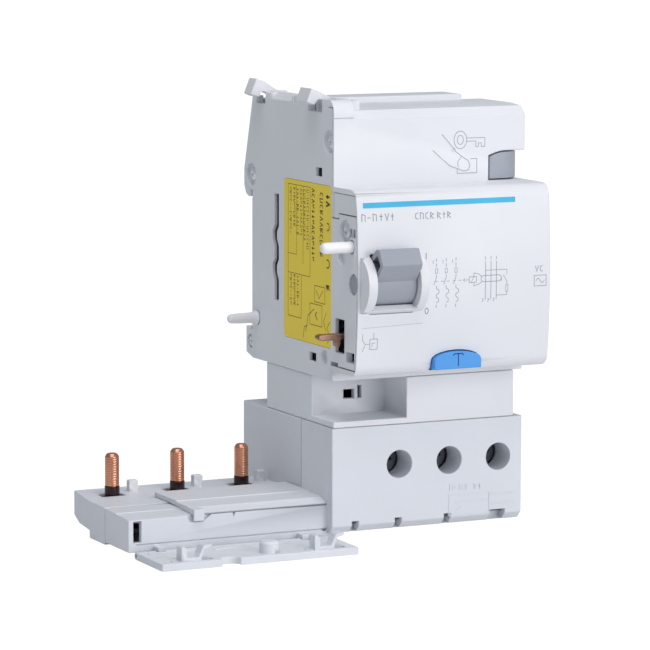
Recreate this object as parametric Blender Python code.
"""Residual-current add-on block for a three-pole modular breaker.

The block clips to the right side of the breaker on a 35 mm rail.  A low platform reaches
under the breaker, three copper pins enter its lower terminals, and the load cables go to
three screw terminals in the block's own foot.

Lengths are in millimetres until they reach Blender.  x runs to the right from the face that
meets the breaker, y runs back to the rail (the rail's front face is y = 0) and z runs up
from the rail's centre line.  The model's origin is the middle of the rail seat.
"""
from math import cos, pi, radians, sin

import bmesh
import bpy
from mathutils import Vector

# ---------------------------------------------------------------- driving dimensions
MM = 0.001
MODULE = 17.5                       # one pole of a modular device
WIDTH = 3 * MODULE                  # the block, and the breaker beside it
GAP = 0.3                           # clearance between separate pieces
SEAM = 0.1                          # clearance along a seam that should hardly show
WALL = 2.0                          # moulded wall
COVER = 2.0                         # thickness of the side cover

TOP = 41.0                          # top of the body
BOTTOM = -25.0                      # underside of the body, where the neck starts
NECK_BOTTOM = -36.6
BLOCK_TOP = -36.7                   # terminal block
BLOCK_BOTTOM = -62.7
PLATFORM_TOP = -55.0
PLATFORM_BOTTOM = -64.2
SPLIT = -29.0                       # plane between the two halves of the foot

SHOULDER_FRONT = -47.2              # front face above the escutcheon
FACE_FRONT = -60.8                  # escutcheon, at its middle
FACE_BULGE = 1.0                    # how far its upper and lower ends fall back
FACE_FLAT = 19.5                    # half height between the rounded ends
FACE_HALF = 22.5                    # half height of the 45 mm escutcheon
FACE_ROUND = FACE_HALF - FACE_FLAT

BLOCK_FRONT = -46.8
BLOCK_BACK = 5.4
PANEL_FRONT = -43.9                 # front of the platform
PLATFORM_BACK = -3.6
RAIL_HALF = 17.8                    # half height of the seat for a 35 mm rail

TOGGLE_Y, TOGGLE_Z = -57.9, -0.2    # axis of the handle
TOGGLE_RADIUS = 5.4
TRUNNION = 2.45
CHEEK_RADIUS = 7.4
RECESS_LEFT, RECESS_RIGHT = 3.1, 14.7
RECESS_HALF = 7.3

LATCH_X, LATCH_Z = 6.9, 41.0        # axis of the two hooks
LATCH_TILT = radians(21.6)          # the hooks stand open by this angle

TERMINAL_X = (18.4, 32.2, 45.9)
TERMINAL_Z = -46.6
ACCESS_RADIUS = 3.45
SCREW_HEAD = 3.4                    # radius of a terminal screw's head
COLLAR_RADIUS = 4.6                 # tube behind each screwdriver opening
CABLE_FRONT, CABLE_BACK = -32.6, -25.6

PIN_X = tuple(MODULE * (pole + 0.5) - WIDTH for pole in range(3))
PIN_Y = -12.5
PIN_RADIUS = 1.75
PIN_TOP = -44.7
WIRE_RADIUS = 1.2

FLAP_LEFT, FLAP_RIGHT = -51.5, -0.25
FLAP_FRONT = -62.1
FLAP_TOP, FLAP_BOTTOM = -63.15, -64.9
FLAP_AXIS = (-46.0, -64.0)
KNUCKLE = 0.9
BRACKETS = (-45.2, -7.2)

TOROID_X, TOROID_Y = 31.0, -21.0

# (y, z) of the four screws in the side cover
SCREWS = ((-44.4, 33.1), (0.8, 21.7), (-53.2, 12.1), (1.4, -20.9))
FRONT_ROD = (-57.0, 8.8)
REAR_ROD = (-2.9, -14.4)


# ---------------------------------------------------------------- materials
def material(name, colour, roughness, metallic=0.0):
    """A Principled material, made once for each name."""
    if name in bpy.data.materials:
        return bpy.data.materials[name]
    made = bpy.data.materials.new(name)
    made.use_nodes = True
    shader = made.node_tree.nodes["Principled BSDF"]
    shader.inputs["Base Color"].default_value = (*colour, 1.0)
    shader.inputs["Roughness"].default_value = roughness
    shader.inputs["Metallic"].default_value = metallic
    made.diffuse_color = (*colour, 1.0)
    return made


HOUSING = material("housing_white", (0.80, 0.80, 0.82), 0.45)
HANDLE_GREY = material("handle_grey", (0.33, 0.34, 0.36), 0.45)
BUTTON_BLUE = material("button_blue", (0.12, 0.38, 0.75), 0.4)
LABEL_YELLOW = material("label_yellow", (0.72, 0.62, 0.14), 0.6)
COPPER = material("copper", (0.72, 0.40, 0.25), 0.35, 1.0)
STEEL = material("zinc_steel", (0.60, 0.60, 0.62), 0.35, 1.0)
BRASS = material("brass", (0.70, 0.55, 0.28), 0.35, 1.0)
SLEEVE_BLACK = material("sleeve_black", (0.02, 0.02, 0.02), 0.5)
ROD_WHITE = material("rod_white", (0.85, 0.85, 0.84), 0.4)
WIRE_BLACK = material("wire_black", (0.03, 0.03, 0.035), 0.5)
CORE_GREY = material("core_grey", (0.12, 0.12, 0.13), 0.5, 0.5)
CARRIER_BEIGE = material("carrier_beige", (0.62, 0.56, 0.42), 0.5)
BOARD_GREEN = material("board_green", (0.05, 0.25, 0.12), 0.5)
PART_BLUE = material("component_blue", (0.08, 0.15, 0.45), 0.4)


# ---------------------------------------------------------------- shape tools
def point(x, y, z):
    """Block coordinates in millimetres to the model's frame in metres."""
    return Vector(((x - WIDTH / 2) * MM, y * MM, z * MM))


def placed(axis, first, second, along):
    """Outline coordinates and a height along an axis, as block coordinates."""
    if axis == "X":
        return point(along, first, second)
    if axis == "Y":
        return point(first, along, second)
    return point(first, second, along)


def new_object(name, mesh_builder, look=None):
    """A mesh object with outward faces, from a filled-in bmesh."""
    bmesh.ops.recalc_face_normals(mesh_builder, faces=mesh_builder.faces)
    mesh = bpy.data.meshes.new(name)
    mesh_builder.to_mesh(mesh)
    mesh_builder.free()
    made = bpy.data.objects.new(name, mesh)
    bpy.context.scene.collection.objects.link(made)
    if look:
        mesh.materials.append(look)
    return made


def prism(outline, axis, low, high, name="tool", look=None):
    """An outline extruded along an axis."""
    builder = bmesh.new()
    corners = [builder.verts.new(placed(axis, a, b, low)) for a, b in outline]
    face = builder.faces.new(corners)
    extruded = bmesh.ops.extrude_face_region(builder, geom=[face])
    moved = [item for item in extruded["geom"] if isinstance(item, bmesh.types.BMVert)]
    shift = placed(axis, 0, 0, high) - placed(axis, 0, 0, low)
    bmesh.ops.translate(builder, verts=moved, vec=shift)
    return new_object(name, builder, look)


def box(x0, x1, y0, y1, z0, z1, name="tool", look=None):
    return prism([(x0, y0), (x1, y0), (x1, y1), (x0, y1)], "Z", z0, z1, name, look)


def arc(centre, radius, start, end, steps):
    """Points on an arc; the angles are in degrees."""
    points = []
    for step in range(steps + 1):
        angle = radians(start + (end - start) * step / steps)
        points.append((centre[0] + radius * cos(angle), centre[1] + radius * sin(angle)))
    return points


def disc(axis, centre, radius, low, high, sides=24, name="tool", look=None):
    return prism(arc(centre, radius, 0, 360 * (1 - 1 / sides), sides - 1),
                 axis, low, high, name, look)


def lathe(profile, axis, centre, sides=24, ring=False, name="tool", look=None):
    """A profile of (radius, height) turned about an axis; a ring's profile closes on itself."""
    builder = bmesh.new()
    rows = []
    for radius, along in profile:
        if radius == 0:
            rows.append([builder.verts.new(placed(axis, centre[0], centre[1], along))])
            continue
        circle = arc(centre, radius, 0, 360 * (1 - 1 / sides), sides - 1)
        rows.append([builder.verts.new(placed(axis, a, b, along)) for a, b in circle])
    pairs = list(zip(rows, rows[1:]))
    if ring:
        pairs.append((rows[-1], rows[0]))
    for lower, upper in pairs:
        for side in range(sides):
            after = (side + 1) % sides
            corners = [lower[side % len(lower)], lower[after % len(lower)],
                       upper[after % len(upper)], upper[side % len(upper)]]
            unique = list(dict.fromkeys(corners))
            builder.faces.new(unique)
    return new_object(name, builder, look)


def tube(points, radius, name="tool", look=None, roundness=1):
    """A bar along a route, with filled ends; it has 4 sides at roundness 0 and 8 at 1."""
    curve = bpy.data.curves.new(name, "CURVE")
    curve.dimensions = "3D"
    curve.bevel_depth = radius * MM
    curve.bevel_resolution = roundness * 2
    curve.use_fill_caps = True
    spline = curve.splines.new("POLY")
    spline.points.add(len(points) - 1)
    for target, place in zip(spline.points, points):
        target.co = (*point(*place), 1.0)
    made = bpy.data.objects.new(name, curve)
    bpy.context.scene.collection.objects.link(made)
    if look:
        curve.materials.append(look)
    return made


def boolean(target, tool, operation):
    """Apply a Boolean and remove its tool."""
    modifier = target.modifiers.new(operation.lower(), "BOOLEAN")
    modifier.operation = operation
    modifier.object = tool
    depsgraph = bpy.context.evaluated_depsgraph_get()
    result = bpy.data.meshes.new_from_object(target.evaluated_get(depsgraph))
    target.modifiers.clear()
    spent = target.data
    result.name = target.name
    target.data = result
    bpy.data.meshes.remove(spent)
    bpy.data.objects.remove(tool)


def cut(target, *tools):
    for tool in tools:
        boolean(target, tool, "DIFFERENCE")


def add(target, *tools):
    for tool in tools:
        boolean(target, tool, "UNION")


def finish(made, smooth=False):
    """Shade round pieces smooth."""
    if smooth and made.type == "MESH":
        made.data.shade_smooth()
        made.data.set_sharp_from_angle(angle=radians(35))
    return made


def pivot(name, place, *pieces):
    """Hang moving pieces from an empty on their joint's axis."""
    holder = bpy.data.objects.new(name, None)
    holder.location = point(*place)
    bpy.context.scene.collection.objects.link(holder)
    bpy.context.view_layer.update()
    for piece in pieces:
        piece.parent = holder
        piece.matrix_parent_inverse = holder.matrix_world.inverted()


def smooth_route(points, steps=5):
    """Catmull-Rom points through a hand-set route."""
    route = []
    padded = [points[0], *points, points[-1]]
    for index in range(len(points) - 1):
        before, start, end, after = (Vector(p) for p in padded[index:index + 4])
        for step in range(steps):
            t = step / steps
            route.append(0.5 * (2 * start + (end - before) * t
                                + (2 * before - 5 * start + 4 * end - after) * t ** 2
                                + (3 * start - before - 3 * end + after) * t ** 3))
    route.append(Vector(points[-1]))
    return route


# ---------------------------------------------------------------- outlines
def face_y(z):
    """Front of the gently bowed escutcheon at a height."""
    return FACE_FRONT + FACE_BULGE * (z / FACE_FLAT) ** 2


BACK_EDGE = [(0, TOP), (5.0, 23.0), (5.0, 18.6), (4.0, 16.7), (2.5, 16.0), (1.3, 16.0),
             (1.3, RAIL_HALF), (-0.2, RAIL_HALF), (-0.2, 15.8), (0, 15.8), (0, -17.0),
             (-0.2, -17.0), (-0.2, -17.9), (1.3, -17.9), (1.3, -17.2), (3.7, -17.2),
             (3.7, -23.9), (0, BOTTOM)]


def body_outline():
    """Side view of the body: rail side down, then the front up."""
    end_y = FACE_FRONT + FACE_BULGE + FACE_ROUND
    front = [(BLOCK_FRONT, BOTTOM), (BLOCK_FRONT, -FACE_HALF)]
    front += arc((end_y, -FACE_FLAT), FACE_ROUND, 270, 180, 5)
    front += [(face_y(z), z) for z in (-13, -6.5, 0, 6.5, 13)]
    front += arc((end_y, FACE_FLAT), FACE_ROUND, 180, 90, 5)
    front += [(SHOULDER_FRONT, FACE_HALF), (SHOULDER_FRONT, TOP - 2.4), (-45.2, TOP - 0.4),
              (-40.0, TOP)]
    return BACK_EDGE + front


# groove in the side cover, with the two waves a neighbour's pin snaps past
GROOVE = [(-13.1, 18.0), (-15.8, 18.0), (-15.8, 10.0), (-14.7, 8.6), (-14.7, 6.6), (-15.8, 5.0),
          (-15.8, 1.6), (-14.7, 0.2), (-14.7, -1.8), (-15.8, -3.4), (-15.8, -8.7), (-13.1, -8.7),
          (-13.1, -3.4), (-12.0, -1.8), (-12.0, 0.2), (-13.1, 1.6), (-13.1, 5.0), (-12.0, 6.6),
          (-12.0, 8.6), (-13.1, 10.0)]


def cover_outline(grow=0.0):
    """Side cover seen from the breaker; grow widens its front seam for the housing's rebate."""
    reach = 0.8 - grow
    lower, upper, step = -20.9 - grow, 16.1 + grow, 14.8 + grow
    notch = [] if grow else [(-45.5, -20.2), (-49.6, -20.2), (-49.6, lower)]
    rise = (notch or [(-45.5 - grow, lower)]) + [(face_y(lower) + reach, lower)]
    rise += [(face_y(z) + reach, z) for z in (-13, -6.5, 0, 6.5)]
    rise += [(face_y(upper) + reach, upper), (-50.2 + grow, upper), (-50.2 + grow, step),
             (-46.2 - grow, step), (-46.2 - grow, 41.3 + grow), (-43.9 - grow, 41.3 + grow)]
    if grow:
        return [(6.5, 44.5), (6.5, -26.0), (-45.5 - grow, -26.0)] + rise + [(-43.9 - grow, 44.5)]
    top = [(-43.9, 43.3), (-25.0, 43.3), (-25.0, 41.4), (-24.0, 41.4), (-24.0, 43.0),
           (-8.0, 43.0), (-8.0, TOP + 0.8), (0, TOP + 0.8)]
    return BACK_EDGE + [(-45.5, BOTTOM)] + rise + top


# ---------------------------------------------------------------- housing
def test_window(grow):
    """Arched outline of the test button."""
    left, right, low, side = 20.4 - grow, 33.2 + grow, -21.6 - grow, -19.3
    middle = (left + right) / 2
    crown = 2.0 + grow
    half = (right - left) / 2
    top = [(middle + half * cos(a), side + crown * sin(a))
           for a in (radians(18 * step) for step in range(11))]
    return [(left, low), (right, low)] + top


def lock_window(grow):
    """Outline of the lock button; its top left corner is arched."""
    left, low, high = 42.7 - grow, 22.8 - grow, 29.4 + grow
    return [(left, low), (51.2 + grow, low), (51.2 + grow, high), (46.6, high),
            (45.2, high - 0.2), (43.8, high - 0.6), (left, high - 1.1)]


def build_main_housing():
    shell = prism(body_outline(), "X", 0, WIDTH, "main_housing", HOUSING)
    cavity = [(-WALL, 36.6), (-WALL, BOTTOM + WALL), (-44.8, BOTTOM + WALL),
              (-44.8, -20.5), (-57.4, -20.5), (-58.0, -18.0), (-58.4, 0), (-58.0, 18.0),
              (-57.4, 20.5), (-45.2, 20.5), (-45.2, 37.6), (-25.0, 37.6)]
    cut(shell, prism(cavity, "X", 0.8, WIDTH - WALL))
    rib = [(-25.0, 39.0), (-25.0, 43.3)] + arc((-44.2, 40.3), 3.0, 90, 180, 5) + [(-47.2, 39.0)]
    cut(shell, prism([(-24.5, TOP), (1.0, 38.8), (1.0, 45.0), (-24.5, 45.0)], "X", 10, 53))
    add(shell, prism(rib, "X", 0, 5.4), box(10, 46, -26, -16, 38.4, 42.4),
        box(2.3, 5.0, -24.0, -8.0, 40, 43.0))
    add(shell, box(5.0, 8.8, -43.6, -41.8, 40.2, 42.9), box(5.0, 8.8, -2.3, -1.0, 40.2, 42.9))
    # front openings and the round guards beside the handle
    cut(shell, box(RECESS_LEFT, RECESS_RIGHT, -63, -50.5, -RECESS_HALF, RECESS_HALF),
        prism(test_window(GAP), "Y", -63, -51),
        prism(lock_window(GAP), "Y", -48, -31),
        box(50.3, 53.5, -48, -36.2, 22.5, 29.7))
    # closed well behind the handle
    add(shell, box(2.6, 15.2, -59.0, -50.9, -8.6, -RECESS_HALF),
        box(2.6, 15.2, -59.0, -50.9, RECESS_HALF, 8.6),
        box(2.6, 15.2, -51.9, -50.9, -8.0, 8.0))
    add(shell, disc("X", (TOGGLE_Y, TOGGLE_Z), CHEEK_RADIUS, 0.75, RECESS_LEFT, 32),
        disc("X", (TOGGLE_Y, TOGGLE_Z), CHEEK_RADIUS, RECESS_RIGHT, 17.0, 32),
        prism(arc((TOGGLE_Y, TOGGLE_Z), CHEEK_RADIUS, 270, 232.5, 4)
              + arc((TOGGLE_Y, TOGGLE_Z), TOGGLE_RADIUS + 0.35, 239.5, 270, 4), "X", 2.8, 15.0),
        box(2.4, 14, -58.6, -51, 7.5, 14.4),
        box(2.4, 10, -6.5, -1.5, -18, -11),
        box(2.4, 14, -46, -41.4, 30.2, 36.4))
    cut(shell, disc("X", (TOGGLE_Y, TOGGLE_Z), TRUNNION + 0.15, -1, 16.8),
        box(-1, 0.4, -59.2, -47.3, 21.0, 21.25), box(-1, 0.4, -47.55, -47.3, 14.8, 21.1))
    # seats of the hooks, their shaft and the passages for the conductors
    cut(shell, box(-1, 9, -40.4, -32.7, 40.0, 45), box(-1, 2.6, -7.7, -2.6, 40.0, 45),
        box(2.3, 9, -7.9, -2.6, 40.0, 45), box(5.0, 8.8, -41.8, -2.6, 39.2, 45),
        disc("Y", (LATCH_X, LATCH_Z), 0.85, -43, -1.6, 12),
        box(8, 48, -28, -14, -26, -22), box(22.3, 48, -44, -37, -26, -22))
    cut(shell, prism(cover_outline(GAP), "X", -1, COVER + GAP))
    for y, z in SCREWS:
        cut(shell, disc("X", (y, z), 1.3, 1, 13.6, 12))
    cut(shell, disc("X", FRONT_ROD, 1.7, -1, 8.3, 16), disc("X", REAR_ROD, 1.8, -1, 8.3, 16),
        box(0, 6.5, -59.1, -55.7, 11.0, 13.2))
    # shallow panels in the sloping back and assembly marks in the right side
    panel = [(0.4, 37.0), (3.7, 25.0), (8, 25.0), (8, 37.0)]
    cut(shell, *[prism(panel, "X", x, x + 11) for x in (8, 23, 38)],
        *[disc("X", place, 1.7, WIDTH - 0.5, WIDTH + 1, 20)
          for place in ((-41.0, 35.5), (-4.5, 35.5), (-53.0, -15.0), (-5.5, -20.5))],
        box(WIDTH - 0.5, WIDTH + 1, -27.0, -21.5, -21.0, -18.5))
    return finish(shell)


def build_side_cover():
    cover = prism(cover_outline(), "X", 0, COVER, "side_cover", HOUSING)
    slant = [(-0.5, 41.2), (2.5, 43.35), (2.5, 45), (-0.5, 45)]
    cut(cover, box(-1, 3, -7.8, -2.6, 40.0, 45), box(-1, 3, -40.4, -32.7, 40.0, 45),
        prism(slant, "Y", -23.5, -11.0))
    # through openings: handle link, trip link, locating rods and screws
    cut(cover, disc("X", (TOGGLE_Y, TOGGLE_Z), TRUNNION + 0.15, -1, 3),
        box(-1, 3, -53.2, -48.2, -17.5, -9.3),
        disc("X", FRONT_ROD, 1.7, -1, 3, 16), disc("X", REAR_ROD, 1.8, -1, 3, 16))
    for (y, z), seat in zip(SCREWS, (2.9, 2.9, 2.9, 1.85)):
        cut(cover, disc("X", (y, z), seat, -1, 1.2, 24), disc("X", (y, z), 1.3, -1, 3, 12))
    # square pockets and the waved groove open into the body, where the wall is thinned
    cut(cover, box(-1, 3, -40.7, -37.0, 24.3, 26.4), box(1.1, 3, -40.7, -33.5, 23.6, 27.1),
        box(-1, 3, -37.5, -33.5, -21.4, -19.3), box(1.1, 3, -37.5, -29.5, -22.1, -18.6),
        box(-1, 3, -58.6, -54.0, -19.3, -16.8), box(-1, 3, -59.0, -55.8, 11.1, 13.1),
        prism(GROOVE, "X", -1, 3), box(1.0, 3, -15.9, -8.5, -9.3, 18.6),
        box(1.1, 3, -53.2, -44.5, -18.0, -8.8))
    # blind recesses: two rounds and the seat of the label
    cut(cover, disc("X", (-42.0, -19.6), 1.95, -1, 1.3, 20),
        disc("X", (-51.6, 6.25), 2.3, -1, 1.3, 20),
        prism(label_outline(0.08), "X", -1, 0.4))
    return finish(cover)


def label_outline(grow):
    """Rounded rectangle of the rating label."""
    low_y, high_y, corner = -45.9 - grow, -19.0 + grow, 1.2
    low_z, high_z = -17.1 - grow, 22.4 + grow
    outline = []
    for y, z, start in ((high_y, high_z, 0), (low_y, high_z, 90), (low_y, low_z, 180),
                        (high_y, low_z, 270)):
        centre = (y + (corner if y == low_y else -corner), z + (corner if z == low_z else -corner))
        outline += arc(centre, corner, start, start + 90, 3)
    return outline


def build_rating_label():
    return finish(prism(label_outline(0), "X", 0.03, 0.33, "rating_label", LABEL_YELLOW))


def neck_plan(inset):
    """L-shaped plan of the neck, with the pocket at its left front corner."""
    left, right, back = 0.3 + inset, 50.1 - inset, -8.1 - inset
    front, corner_x, corner_y = BLOCK_FRONT + inset, 20.3 + inset, -34.5 + inset
    return [(left, back), (right, back), (right, front), (corner_x, front),
            (corner_x, corner_y), (left, corner_y)]


def build_neck_housing():
    neck = prism(neck_plan(0), "Z", NECK_BOTTOM, BOTTOM - SEAM, "neck_housing", HOUSING)
    cut(neck, prism(neck_plan(WALL), "Z", NECK_BOTTOM - 1, BOTTOM + 1))
    add(neck, box(0.3, 20.6, BLOCK_FRONT, -34.0, NECK_BOTTOM, -35.1))
    cut(neck, box(9.1, 12.0, -35, -32, -31.5, -29.2), box(13.0, 14.0, -35, -32, -31.5, -28.4))
    return finish(neck)


def build_terminal_rear_housing():
    """Rear half of the foot: the terminal block and the platform under the breaker."""
    half = SPLIT + GAP / 2
    shell = box(0, WIDTH, half, BLOCK_BACK, BLOCK_BOTTOM, BLOCK_TOP,
                "terminal_rear_housing", HOUSING)
    section = [(half, PLATFORM_TOP), (PLATFORM_BACK, PLATFORM_TOP), (PLATFORM_BACK, -61.2),
               (-8.5, -62.4), (-18.8, -62.4), (-18.8, PLATFORM_BOTTOM), (half, PLATFORM_BOTTOM)]
    platform = prism(section, "X", -WIDTH, 1.0)
    cut(platform, prism([(-53, -19.7), (-WIDTH, -19.7), (-50.3, -3.6), (-50, -2), (-53, -2)],
                        "Z", -66, -54))
    add(shell, platform)
    for x in (-37.4, -19.9, -2.6):
        add(shell, box(x - 1.2, x + 1.2, -11.2, -9.2, PLATFORM_TOP - 0.5, PLATFORM_TOP + 2.8))
    cut(shell, box(WALL, WIDTH - WALL, -30, BLOCK_BACK - WALL, -60.7, -38.7),
        box(-48.3, WALL + 1, -30, -5.6, -61.0, -57.0),
        box(8, 48, -28, -14, -40, -36))
    for x in PIN_X:
        cut(shell, box(x - 3.6, x + 2.7, -15.2, -10.2, -58, -54))
    for x in TERMINAL_X:
        cut(shell, box(x - 3.6, x + 3.6, -30, CABLE_BACK, -64, -60))
    cut(shell, box(-37.0, -35.2, -21.6, -20.6, -58, -54),
        *[box(x - 5.0, x + 5.0, BLOCK_BACK - 0.5, BLOCK_BACK + 1, -59.0, -43.0)
          for x in (9.8, 26.2, 42.7)])
    return finish(shell)


# top of the platform's front half, from the split to the panel
PANEL_TOP = [(-29.15, -55.2), (-36.0, -55.2), (-36.1, -55.45), (-41.0, -55.5),
             (PANEL_FRONT, -55.75)]


# section of the notches in the foot's lower front edge
BOTTOM_NOTCH = [(-48, -60.0), (-43.5, -60.0), (-43.5, -62.1), (-45.1, -62.8), (-48, -62.8)]


def build_terminal_front_cover():
    """Front half of the foot, with the screwdriver openings and the flap's brackets."""
    half = SPLIT - GAP / 2
    shell = prism([(half, BLOCK_TOP), (half, BLOCK_BOTTOM), (-45.2, BLOCK_BOTTOM),
                   (BLOCK_FRONT, -61.0), (BLOCK_FRONT, BLOCK_TOP)],
                  "X", 0, WIDTH, "terminal_front_cover", HOUSING)
    add(shell, prism(PANEL_TOP + [(PANEL_FRONT, -63.6), (half, -63.6), (half, -55.2)],
                     "X", -WIDTH, 1.0))
    for x in BRACKETS:
        add(shell, box(x - 0.8, x + 0.8, -46.9, -43.0, -64.9, -62.2))
    cut(shell, box(WALL, WIDTH - WALL, BLOCK_FRONT + WALL, -28, -60.7, -38.7),
        box(-50.5, WALL + 1, PANEL_FRONT + 1.6, -28, -61.6, -57.0),
        box(20.8, 48.5, -44, -31, -40, -36),
        box(-51.2, -49.1, -45, -41, -61.3, -56.1),
        prism([(-38.2, -54.9), (-36.4, -57.4), (-32.9, -57.4), (-31.0, -55.9), (-31.0, -54.9)],
              "Y", -45, -42.9),
        prism([(-25.4, -54.9), (-24.9, -57.0), (-24.3, -54.9)], "Y", -45, -42.9),
        box(-50.5, -0.1, -45, PANEL_FRONT + 0.5, -61.9, -61.6),
        box(-1.3, -0.1, -45, PANEL_FRONT + 1.0, -62.3, -61.6),
        prism(BOTTOM_NOTCH, "X", 43.7, 47.9))
    add(shell, *[disc("Y", (x, TERMINAL_Z), COLLAR_RADIUS, -45, -38.8, 32)
                 for x in TERMINAL_X])
    for x in TERMINAL_X:
        cut(shell, disc("Y", (x, TERMINAL_Z), ACCESS_RADIUS, -48, -38, 32),
            box(x - 3.6, x + 3.6, CABLE_FRONT, -28, -64, -60))
    for x in (6.4, 18.2, 31.8):
        cut(shell, prism(BOTTOM_NOTCH, "X", x - 0.9, x + 0.9))
    for x in BRACKETS:
        cut(shell, disc("X", FLAP_AXIS, 0.75, x - 1, x + 1, 12))
    return finish(shell)


def build_platform_plate():
    """Raised plate on the platform, with a tab over its front edge."""
    left, right, tab_right = -35.8, -0.3, -33.1
    low, high = PLATFORM_TOP + SEAM, PLATFORM_TOP + 1.3
    under = [(y, z + SEAM) for y, z in reversed(PANEL_TOP)]
    plate = prism([(-20.5, low), (-20.5, high), (-34.0, high), (-34.1, high - 0.3),
                   (-41.2, high - 0.3), (-41.3, high - 0.6), (PANEL_FRONT, -55.2)]
                  + under[:-1] + [(-30.0, low)], "X", left, right, "platform_plate", HOUSING)
    add(plate, box(left, tab_right, -44.9, -41.5, PLATFORM_TOP - 0.2, high - 0.5))
    add(plate, box(left, tab_right, -44.9, -44.2, -57.0, PLATFORM_TOP))
    for x in PIN_X[1:]:
        cut(plate, box(x - 4, x + 4, -17, -8, -56, -52))
    return finish(plate)


# ---------------------------------------------------------------- flap
def clip_outline(x):
    """Stiff post and a springy curved hook on a common base, seen from the front."""
    floor = FLAP_TOP - 0.4
    return [(x - 2.9, floor), (x + 2.2, floor), (x + 2.7, floor + 1.7), (x + 3.2, floor + 3.0),
            (x + 4.9, floor + 3.4), (x + 4.9, floor + 4.1), (x + 2.7, floor + 3.8),
            (x + 2.0, floor + 2.3), (x + 1.5, floor + 1.1), (x - 1.4, floor + 1.1),
            (x - 1.4, floor + 3.0), (x - 2.1, floor + 3.9), (x - 2.9, floor + 3.7)]


def build_terminal_flap():
    y, z = FLAP_AXIS
    flap = box(FLAP_LEFT, FLAP_RIGHT, FLAP_FRONT, y, FLAP_BOTTOM, FLAP_TOP,
               "terminal_flap", HOUSING)
    add(flap, disc("X", FLAP_AXIS, KNUCKLE, FLAP_LEFT, FLAP_RIGHT, 16))
    cut(flap, disc("X", FLAP_AXIS, 0.62, FLAP_LEFT - 1, FLAP_RIGHT + 1, 12))
    for x in BRACKETS:
        cut(flap, box(x - 1.1, x + 1.1, y - 2.3, y + 2, z - 2, z + 2))
    cut(flap, prism([(-36.0, -63), (-36.0, -61.0), (-35.0, -59.8), (-32.3, -59.8),
                     (-31.3, -61.0), (-31.3, -63)], "Z", -66, -62))
    for x in (-43.1, -8.4):
        add(flap, prism(clip_outline(x), "Y", -60.8, -57.6))
        cut(flap, box(x - 5.4, x - 4.4, -59.6, -58.2, -66, -62),
            box(x + 3.0, x + 5.6, -60.4, -58.4, -66, -62))
    # low ribs and two witness marks
    add(flap, box(-49.5, -37.5, -49.4, -48.8, FLAP_TOP - 0.3, FLAP_TOP + 0.3),
        box(-33.0, -13.0, -50.6, -50.1, FLAP_TOP - 0.3, FLAP_TOP + 0.3))
    cut(flap, box(-49.4, -48.2, -53.4, -52.8, FLAP_TOP - 0.4, -62),
        box(-47.0, -45.8, -56.6, -56.0, FLAP_TOP - 0.4, -62))
    add(flap, lathe([(0, FLAP_TOP - 0.5), (2.4, FLAP_TOP - 0.5), (2.4, FLAP_TOP + 2.4),
                     (1.9, FLAP_TOP + 2.9), (0, FLAP_TOP + 3.0)], "Z", (-22.4, -58.8), 24))
    return finish(flap)


def build_flap_hinge_pin():
    return finish(lathe([(0, FLAP_LEFT + 0.4), (0.42, FLAP_LEFT + 0.4),
                         (0.42, FLAP_RIGHT - 0.4), (0, FLAP_RIGHT - 0.4)],
                        "X", FLAP_AXIS, 12, name="flap_hinge_pin", look=STEEL), True)


# ---------------------------------------------------------------- handle and trip chain
def build_toggle_lever():
    def spot(forward, up):
        return TOGGLE_Y - forward, TOGGLE_Z + up

    lever = disc("X", (TOGGLE_Y, TOGGLE_Z), TOGGLE_RADIUS, 3.4, 14.4, 40,
                 "toggle_lever", HANDLE_GREY)
    paddle = [spot(0, 5.2), spot(3.0, 7.0), spot(5.6, 8.9), spot(6.9, 8.8), spot(8.8, 5.4),
              spot(8.6, 4.7), spot(5.2, 1.0), spot(0, 0)]
    add(lever, prism(paddle, "X", 3.5, 14.3))
    hollow = [spot(2.6, 5.4), spot(6.1, 7.5), spot(7.6, 5.1), spot(5.0, 2.2)]
    cut(lever, prism(hollow, "X", 3.0, 13.5))
    add(lever, disc("X", (TOGGLE_Y, TOGGLE_Z), TRUNNION, 0.5, 4.0),
        disc("X", (TOGGLE_Y, TOGGLE_Z), TRUNNION, 14.0, 16.5))
    return finish(lever, True)


def build_trip_link():
    """Copper tongue that reaches through the side cover into the breaker."""
    outline = [(-6.2, -13.6), (-5.4, -14.2), (-1.5, -14.2), (-1.2, -15.9), (-0.5, -15.9),
               (-0.2, -14.2), (2.6, -14.2), (2.6, -15.4), (3.6, -15.4), (3.6, -8.9), (2.6, -8.9),
               (2.6, -12.8), (-5.2, -12.7), (-6.1, -13.0)]
    link = prism(outline, "Y", -52.0, -49.6, "trip_link", COPPER)
    return finish(link)


def build_trip_lever():
    """Rocker between the relay, the handle and the trip link."""
    outline = [(-48.4, -1.5), (-48.0, -12.0), (-46.6, -12.0), (-45.6, -1.5), (-46.2, 6.0),
               (-47.8, 6.0)]
    lever = prism(outline, "X", 6.0, 8.4, "trip_lever", HANDLE_GREY)
    cut(lever, disc("X", (-47.0, -1.5), 0.95, 5, 10, 12))
    return finish(lever)


def build_trip_lever_pin():
    return finish(lathe([(0, 4.0), (0.7, 4.0), (0.7, 10.6), (0, 10.6)], "X", (-47.0, -1.5), 12,
                        name="trip_lever_pin", look=STEEL), True)


def build_mechanism_spring():
    """Coil that stores the energy for tripping."""
    turns, per_turn, radius = 6, 10, 1.5
    route = []
    for step in range(turns * per_turn + 1):
        angle = 2 * pi * step / per_turn
        route.append((13.2 + radius * cos(angle), -46.0 + radius * sin(angle),
                      -6.0 + 11.0 * step / (turns * per_turn)))
    return tube(route, 0.3, "mechanism_spring", STEEL, 0)


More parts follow.
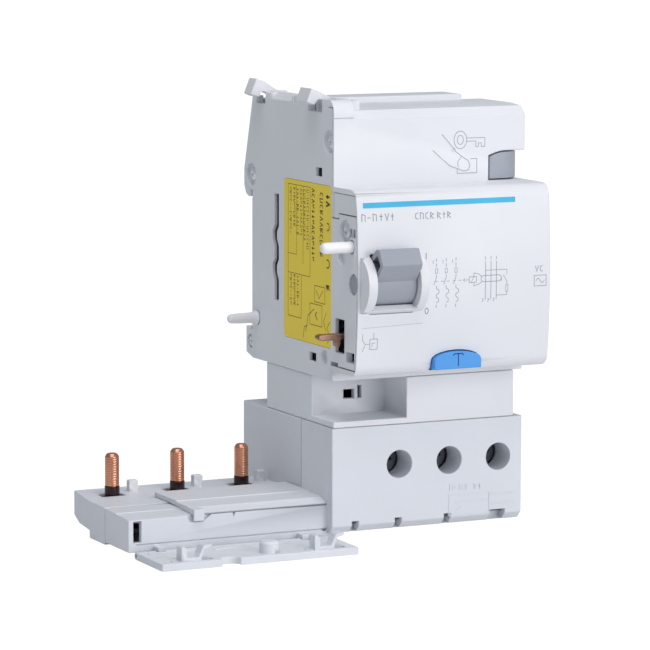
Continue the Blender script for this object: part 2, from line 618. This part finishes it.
def build_relay_case():
    case = box(21.0, 34.0, -56.5, -48.5, -15.8, -6.0, "relay_case", WIRE_BLACK)
    cut(case, disc("X", (-52.5, -11.0), 1.3, 20, 30, 16))
    return finish(case)


def build_relay_plunger():
    return finish(lathe([(0, 16.2), (1.0, 16.2), (1.0, 28.0), (0, 28.0)], "X", (-52.5, -11.0), 16,
                        name="relay_plunger", look=BRASS), True)


# ---------------------------------------------------------------- test circuit
def build_test_button():
    button = prism(test_window(0), "Y", -61.4, -54.0, "test_button", BUTTON_BLUE)
    return finish(button)


def build_test_contact_leaf():
    """Bent strip that the test button presses."""
    outline = [(-51.4, -20.2), (-51.4, -17.0), (-46.5, -15.4), (-46.5, -15.9), (-50.9, -17.3),
               (-50.9, -20.2)]
    return finish(prism(outline, "X", 24.5, 28.5, "test_contact_leaf", BRASS))


def build_test_resistor():
    profile = [(0, 36.0), (0.3, 36.0), (0.3, 39.0), (1.2, 39.3), (1.2, 44.7), (0.3, 45.0),
               (0.3, 48.0), (0, 48.0)]
    return finish(lathe(profile, "X", (-52.0, -16.5), 16, name="test_resistor",
                        look=CARRIER_BEIGE), True)


# ---------------------------------------------------------------- lock and hooks
def build_lock_button():
    plan = [(42.7, -47.0), (47.7, -47.0), (51.2, -44.6), (51.2, -40.0), (50.2, -40.0),
            (50.2, -36.0), (42.7, -36.0)]
    button = prism(plan, "Z", 22, 30, "lock_button", HANDLE_GREY)
    boolean(button, prism(lock_window(0), "Y", -48, -35), "INTERSECT")
    return finish(button)


def build_lock_link():
    """Slide under the roof that carries the button's push across to the hooks."""
    link = box(10.0, 41.0, -35.4, -31.6, 35.6, 37.2, "lock_link", HANDLE_GREY)
    add(link, box(38.4, 41.0, -35.4, -31.6, 27.0, 36.0))
    return finish(link)


def latch_outline(points):
    """Points along and across the open hooks, as (x, z) about their shaft."""
    across, along = sin(LATCH_TILT), cos(LATCH_TILT)
    return [(LATCH_X - u * along + v * across, LATCH_Z + u * across + v * along)
            for u, v in points]


def build_latch_bar():
    bar = disc("Y", (LATCH_X, LATCH_Z), 1.5, -41.4, -2.9, 20, "latch_bar", HOUSING)
    for start, end, low, high in ((-7.5, -3.0, 1.1, 1.7), (-39.9, -33.7, 0.8, 1.0)):
        claw = latch_outline([(0, 0.7), (5.0, low), (7.8, high), (10.5, high), (10.5, -2.6),
                              (8.3, -2.6), (8.0, -1.0), (7.4, -0.6), (0, -0.6)])
        add(bar, prism(claw, "Y", start, end))
    cut(bar, disc("Y", (LATCH_X, LATCH_Z), 0.85, -43, -1, 12))
    return finish(bar)


def build_latch_shaft():
    return finish(lathe([(0, -42.8), (0.6, -42.8), (0.6, -1.7), (0, -1.7)], "Y",
                        (LATCH_X, LATCH_Z), 12, name="latch_shaft", look=STEEL), True)


# ---------------------------------------------------------------- fasteners and rods
def build_case_screws():
    made = []
    for index, place in enumerate(SCREWS, 1):
        screw = lathe([(0, 0.35), (1.1, 0.35), (1.6, 0.7), (1.6, 1.0), (1.0, 1.45),
                       (1.0, 12.4), (0.4, 13.2), (0, 13.2)], "X", place, 16,
                      name=f"case_screw_{index}", look=STEEL)
        for wide, tall in ((0.9, 0.22), (0.22, 0.9)):
            y, z = place
            cut(screw, box(0, 0.75, y - wide, y + wide, z - tall, z + tall))
        made.append(finish(screw, True))
    return made


def build_locating_rods():
    front = lathe([(0, -8.2), (0.6, -8.15), (1.05, -7.85), (1.3, -7.3), (1.4, -6.4),
                   (1.4, 7.8), (0, 7.8)], "X", FRONT_ROD, 20,
                  name="front_locating_rod", look=ROD_WHITE)
    rear = lathe([(0, -8.1), (0.6, -8.05), (1.0, -7.75), (1.2, -7.1), (1.3, -5.0), (1.35, -2.0),
                  (1.6, -0.8), (1.8, -0.3), (1.8, -SEAM), (1.5, -SEAM), (1.5, 7.8), (0, 7.8)],
                 "X", REAR_ROD, 20, name="rear_locating_rod", look=ROD_WHITE)
    return [finish(front, True), finish(rear, True)]


# ---------------------------------------------------------------- current path
def build_line_pins():
    made = []
    for index, x in enumerate(PIN_X, 1):
        top = PIN_TOP
        inner, outer, sleeve_top = PIN_RADIUS - 0.2, PIN_RADIUS + 0.12, -52.9
        neck = inner - SEAM
        pin = lathe([(0, -57.6), (neck, -57.6), (neck, sleeve_top + SEAM),
                     (PIN_RADIUS, sleeve_top + SEAM), (PIN_RADIUS, top - 0.8),
                     (PIN_RADIUS - 0.5, top - 0.1), (PIN_RADIUS - 0.8, top), (0, top)],
                    "Z", (x, PIN_Y), 24, name=f"line_pin_{index}", look=COPPER)
        made.append(finish(pin, True))
        sleeve = lathe([(inner, -57.4), (outer, -57.4), (outer, sleeve_top), (inner, sleeve_top)],
                       "Z", (x, PIN_Y), 24, ring=True, name=f"pin_sleeve_{index}",
                       look=SLEEVE_BLACK)
        made.append(finish(sleeve, True))
    return made


def build_phase_conductors():
    """Insulated wires: pin, platform, neck, once through the toroid and down to a terminal."""
    lanes = (-24.5, -20.5, -16.5)
    risers = ((12.0, -24.5), (18.0, -20.5), (24.0, -16.5))
    bores = ((-3.2, -1.6), (3.2, -1.6), (0.0, 3.0))
    drops = (25.0, 33.5, 44.0)
    made = []
    for pole in range(3):
        lane, (rise_x, rise_y) = lanes[pole], risers[pole]
        bore_x, bore_y = TOROID_X + bores[pole][0], TOROID_Y + bores[pole][1]
        loop = 13.4 + 3.3 * pole
        x = PIN_X[pole]
        route = [(x, PIN_Y, -59.3), (x, PIN_Y - 1.0, -59.6), (x + 2.0, lane + 2.0, -59.6),
                 (x + 6.0, lane, -59.2), (0.0, lane, -59.2), (rise_x - 5, lane, -57.5),
                 (rise_x, rise_y, -50), (rise_x, rise_y, -32), (rise_x + 4, rise_y, -24),
                 (bore_x, bore_y, -13), (bore_x, bore_y, 8), (bore_x, bore_y - 4, loop),
                 (drops[pole], -36.0, loop), (drops[pole], -41.2, loop - 6),
                 (drops[pole], -41.2, -20), (drops[pole], -41.0, -33),
                 (drops[pole], -38.6, -37.2),
                 ((drops[pole] + TERMINAL_X[pole]) / 2, -33.8, -39.8),
                 (TERMINAL_X[pole], -30.4, -40.9), (TERMINAL_X[pole], -29.9, -42.2)]
        made.append(tube(smooth_route(route, 3), WIRE_RADIUS,
                         f"phase_conductor_{pole + 1}", WIRE_BLACK))
    return made


def build_toroid():
    centre = (TOROID_X, TOROID_Y)
    core = lathe([(9.6, -5.6), (13.6, -5.6), (13.6, 5.4), (9.6, 5.4)], "Z", centre, 32, True,
                 "toroid_core", CORE_GREY)
    carrier = lathe([(8.3, -7.0), (15.0, -7.0), (15.0, 6.0), (14.0, 6.0), (14.0, -6.0),
                     (9.3, -6.0), (9.3, 6.0), (8.3, 6.0)], "Z", centre, 32, True,
                    "toroid_carrier", CARRIER_BEIGE)
    lid = lathe([(8.3, 6.3), (15.0, 6.3), (15.0, 7.4), (8.3, 7.4)], "Z", centre, 32, True,
                "toroid_lid", CARRIER_BEIGE)
    turns, per_turn = 9, 12
    route = []
    for step in range(turns * per_turn + 1):
        around = 2 * pi * step / per_turn
        bearing = radians(-50 + 100 * step / (turns * per_turn))
        reach = 11.65 + 5.2 * cos(around)
        route.append((TOROID_X + reach * cos(bearing), TOROID_Y + reach * sin(bearing),
                      0.2 + 11.2 * sin(around)))
    winding = tube(route, 0.28, "sense_winding", COPPER, 0)
    return [finish(core, True), finish(carrier, True), finish(lid, True), winding]


def build_electronics():
    board = box(20.0, 49.5, -50.2, -48.6, 3.5, 19.5, "circuit_board", BOARD_GREEN)
    capacitor = lathe([(0, -57.0), (2.7, -57.0), (3.0, -56.6), (3.0, -50.5), (0, -50.5)], "Y",
                      (44.0, 11.0), 20, name="filter_capacitor", look=PART_BLUE)
    varistor = lathe([(0, -53.0), (3.0, -53.0), (3.6, -52.4), (3.6, -51.2), (3.0, -50.5),
                      (0, -50.5)], "Y", (27.0, 11.5), 20, name="varistor", look=CARRIER_BEIGE)
    return [finish(board), finish(capacitor, True), finish(varistor, True)]


# ---------------------------------------------------------------- terminals
def build_terminals():
    made = []
    for index, x in enumerate(TERMINAL_X, 1):
        z = TERMINAL_Z
        cage = box(x - 4.5, x + 4.5, -34.2, -24.2, z - 4.4, z + 4.4,
                   f"terminal_cage_{index}", STEEL)
        cut(cage, box(x - 3.3, x + 3.3, -32.9, -25.4, z - 6, z + 6),
            disc("Y", (x, z), 2.2, -35, -32, 20))
        screw = lathe([(0, -38.5), (SCREW_HEAD - 0.2, -38.5), (SCREW_HEAD, -38.3),
                       (SCREW_HEAD, -36.9), (1.9, -36.9),
                       (1.9, -31.3), (1.5, -30.9), (0, -30.9)], "Y", (x, z), 24,
                      name=f"terminal_screw_{index}", look=STEEL)
        for wide, tall in ((1.9, 0.4), (0.4, 1.9)):
            cut(screw, box(x - wide, x + wide, -39, -37.4, z - tall, z + tall))
        bar = box(x - 2.8, x + 2.8, -30.5, -29.3, z - 6.4, z + 4.0,
                  f"terminal_bar_{index}", COPPER)
        made += [finish(cage), finish(screw, True), finish(bar)]
        pivot(f"terminal_{index}_axis", (x, -36.9, z), cage, screw)
    return made


# ---------------------------------------------------------------- assembly
def clear_scene():
    for item in list(bpy.data.objects):
        bpy.data.objects.remove(item)


def build():
    clear_scene()
    build_main_housing()
    build_side_cover()
    build_rating_label()
    build_neck_housing()
    build_terminal_rear_housing()
    build_terminal_front_cover()
    build_platform_plate()
    flap = build_terminal_flap()
    pivot("flap_axis", (FLAP_LEFT, *FLAP_AXIS), flap)
    build_flap_hinge_pin()
    pivot("toggle_axis", (3.4, TOGGLE_Y, TOGGLE_Z), build_toggle_lever())
    pivot("trip_link_slide", (0, -50.8, -13.5), build_trip_link())
    pivot("trip_lever_axis", (6.0, -47.0, -1.5), build_trip_lever())
    build_trip_lever_pin()
    build_mechanism_spring()
    build_relay_case()
    pivot("relay_plunger_slide", (16.2, -52.5, -11.0), build_relay_plunger())
    pivot("test_button_slide", (26.4, -61.4, -19.4), build_test_button())
    build_test_contact_leaf()
    build_test_resistor()
    pivot("lock_button_slide", (46.6, -47.0, 26.0), build_lock_button())
    pivot("lock_link_slide", (10.0, -33.5, 36.4), build_lock_link())
    pivot("latch_axis", (LATCH_X, -2.9, LATCH_Z), build_latch_bar())
    build_latch_shaft()
    build_case_screws()
    build_locating_rods()
    build_line_pins()
    build_phase_conductors()
    build_toroid()
    build_electronics()
    build_terminals()


build()
